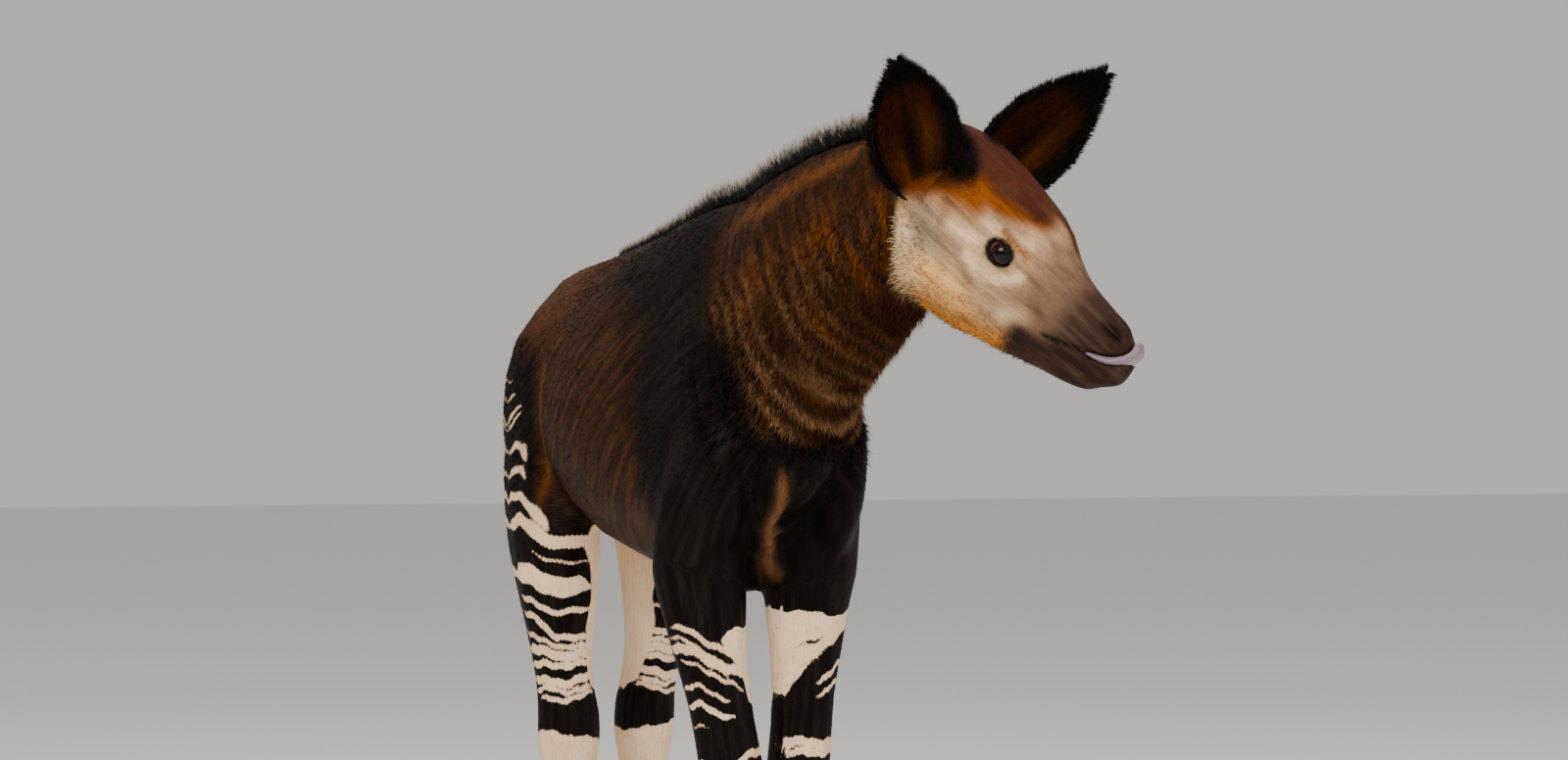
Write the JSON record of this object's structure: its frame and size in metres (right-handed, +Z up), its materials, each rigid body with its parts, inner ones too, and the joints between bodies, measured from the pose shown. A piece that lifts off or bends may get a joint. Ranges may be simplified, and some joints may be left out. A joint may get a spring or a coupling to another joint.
{
  "type": "okapi calf",
  "caption": "Life-size young okapi standing on four feet with its head turned to its left, dark glossy coat, striped white and black legs and large cupped ears.",
  "frame": {"origin": "middle of the bounding box at floor level, under the belly", "axes": "+Z up, -Y the way the body faces, +X towards the animal's left side; the head looks to -Y and +X"},
  "size_m": [0.4807, 1.2319, 1.229],
  "materials": {
    "coat": "short glossy fur, dark reddish brown with white and black striped legs and a pale face",
    "eye": "wet glossy near black",
    "hoof": "dark satin horn",
    "tongue": "moist lilac grey"
  },
  "bodies": {
    "root": {"torso": "coat", "neck": "coat", "head": "coat", "ear_right": "coat", "ear_left": "coat", "eye_right": "eye", "eye_left": "eye", "tail": "coat", "foreleg_right_upper": "coat", "foreleg_right_lower": "coat", "foreleg_right_foot": "coat", "foreleg_right_claw_inner": "hoof", "foreleg_right_claw_outer": "hoof", "foreleg_left_upper": "coat", "foreleg_left_lower": "coat", "foreleg_left_foot": "coat", "foreleg_left_claw_inner": "hoof", "foreleg_left_claw_outer": "hoof", "hindleg_right_upper": "coat", "hindleg_right_lower": "coat", "hindleg_right_foot": "coat", "hindleg_right_claw_inner": "hoof", "hindleg_right_claw_outer": "hoof", "hindleg_left_upper": "coat", "hindleg_left_lower": "coat", "hindleg_left_foot": "coat", "hindleg_left_claw_inner": "hoof", "hindleg_left_claw_outer": "hoof", "tongue": "tongue", "tail_tuft": "coat"}
  },
  "joints": []
}
